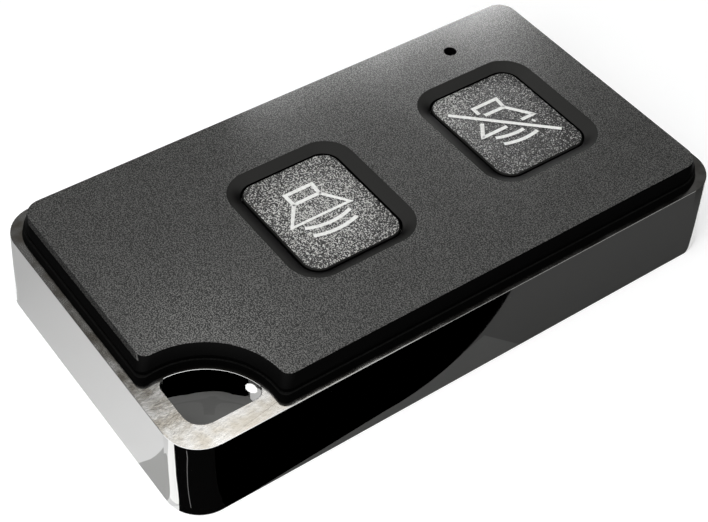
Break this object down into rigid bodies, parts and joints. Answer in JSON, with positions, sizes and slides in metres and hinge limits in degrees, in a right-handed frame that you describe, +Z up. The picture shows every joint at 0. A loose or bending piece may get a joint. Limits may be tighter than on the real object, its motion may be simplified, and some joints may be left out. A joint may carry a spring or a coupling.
{
  "type": "two-button keyring remote control",
  "caption": "Flat two-key radio remote for an alarm: matte black case in a chrome-plated frame with a key-ring eye through one corner and an indicator pinhole.",
  "frame": {"origin": "middle of the flat back, on the surface that the remote lies on", "axes": "+X across the width, +Y along the length towards the indicator end, +Z up through the keys; the key-ring eye is in the +X, -Y corner"},
  "size_m": [0.0352, 0.064, 0.011],
  "materials": {
    "frame_chrome": "bright chrome plating, satin on the ledge at the key-ring corner",
    "shell_black": "fine spark-eroded grain",
    "case_black": "smooth, low gloss",
    "key_black": "coarse sparkling grain with white print",
    "screw_steel": "blackened steel",
    "board_green": "solder-resist lacquer",
    "switch_black": "moulded",
    "switch_steel": "stamped",
    "dome_steel": "stamped spring steel",
    "cell_steel": "nickel-plated can",
    "contact_nickel": "nickel-plated spring strip",
    "led_clear": "clear red lens",
    "chip_black": "moulded epoxy with tinned leads",
    "resonator_can": "drawn metal can",
    "capacitor_brown": "ceramic body with tinned ends",
    "resistor_black": "ceramic body with tinned ends",
    "antenna_copper": "tinned copper wire"
  },
  "bodies": {
    "case": {"chrome_frame": "frame_chrome", "upper_shell": "shell_black", "inner_case": "case_black", "rear_cover": "case_black", "case_screws": "screw_steel", "circuit_board": "board_green", "coin_cell": "cell_steel", "battery_clip": "contact_nickel", "battery_contact": "contact_nickel", "indicator_led": "led_clear", "transmitter_chip": "chip_black", "encoder_chip": "chip_black", "resonator": "resonator_can", "chip_capacitors": "capacitor_brown", "chip_resistors": "resistor_black", "antenna_loop": "antenna_copper", "sound_switch_housing": "switch_black", "sound_switch_cover": "switch_steel", "sound_switch_dome": "dome_steel", "mute_switch_housing": "switch_black", "mute_switch_cover": "switch_steel", "mute_switch_dome": "dome_steel"},
    "sound_button": {"sound_key": "key_black", "sound_switch_plunger": "switch_black"},
    "mute_button": {"mute_key": "key_black", "mute_switch_plunger": "switch_black"}
  },
  "joints": [
    {"name": "sound_key_press", "type": "slide", "parent": "case", "child": "sound_button", "axis": [0, 0, -1], "range_m": [0, 0.0003], "stiffness_N_per_m": 3000, "springref_m": -0.0002},
    {"name": "mute_key_press", "type": "slide", "parent": "case", "child": "mute_button", "axis": [0, 0, -1], "range_m": [0, 0.0003], "stiffness_N_per_m": 3000, "springref_m": -0.0002}
  ]
}
